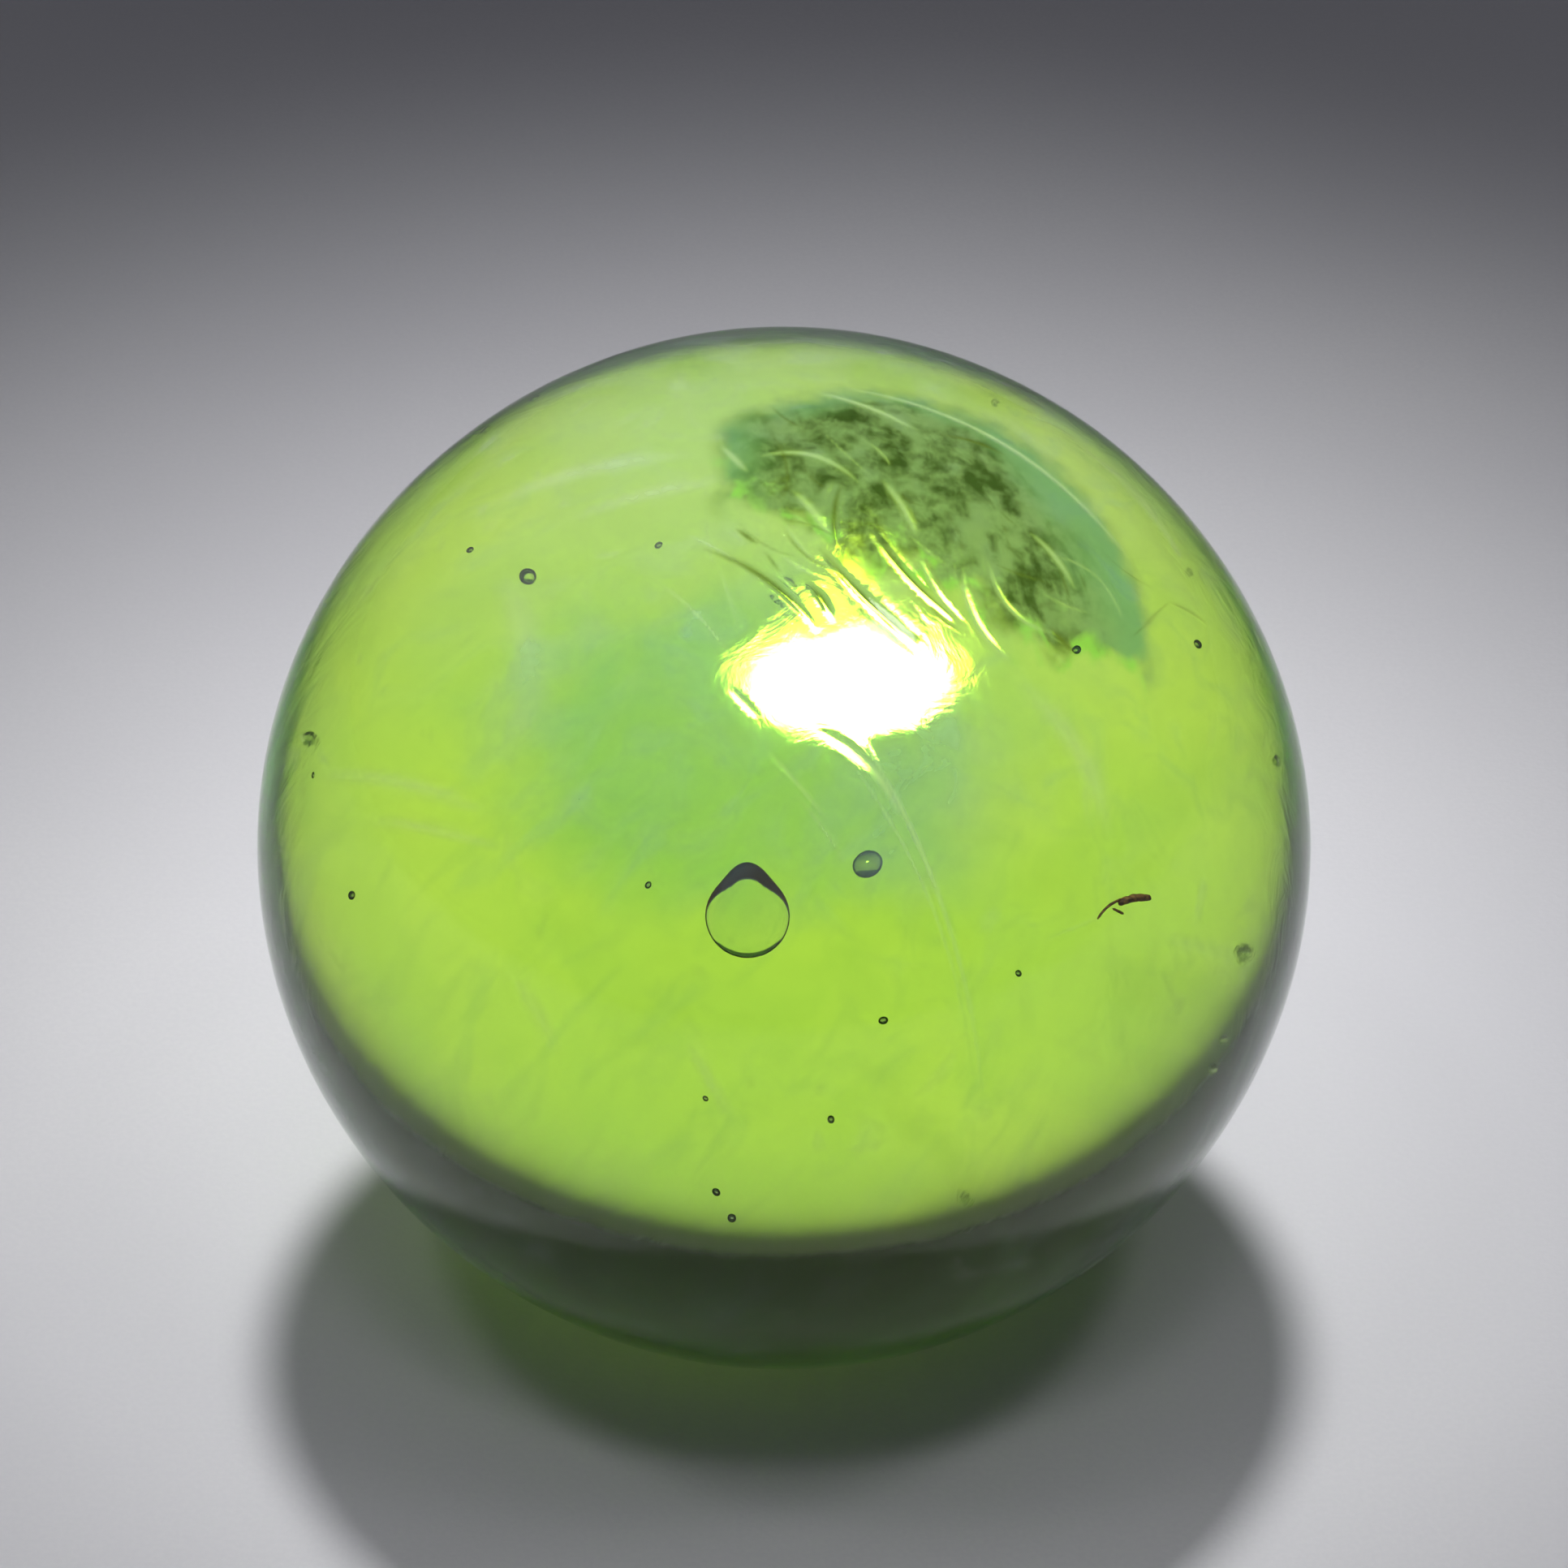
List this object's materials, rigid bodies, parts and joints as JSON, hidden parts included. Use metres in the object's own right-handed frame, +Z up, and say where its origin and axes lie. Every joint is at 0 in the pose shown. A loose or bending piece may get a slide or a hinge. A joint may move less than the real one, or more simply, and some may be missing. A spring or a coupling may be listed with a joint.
{
  "type": "case opening friction ball",
  "caption": "Solid see-through lime green ball of tacky cast polyurethane, pressed and turned by hand on a screw-down watch case back to unscrew it.",
  "frame": {"origin": "centre of the small flat the soft ball stands on, at the level of the surface under it", "axes": "+Z up through the ball's centre, +X along its longest diameter, +Y along its shortest"},
  "size_m": [0.065, 0.064, 0.0643],
  "materials": {
    "clear_polyurethane": "gloss"
  },
  "bodies": {
    "root": {"friction_ball": "clear_polyurethane"}
  },
  "joints": []
}
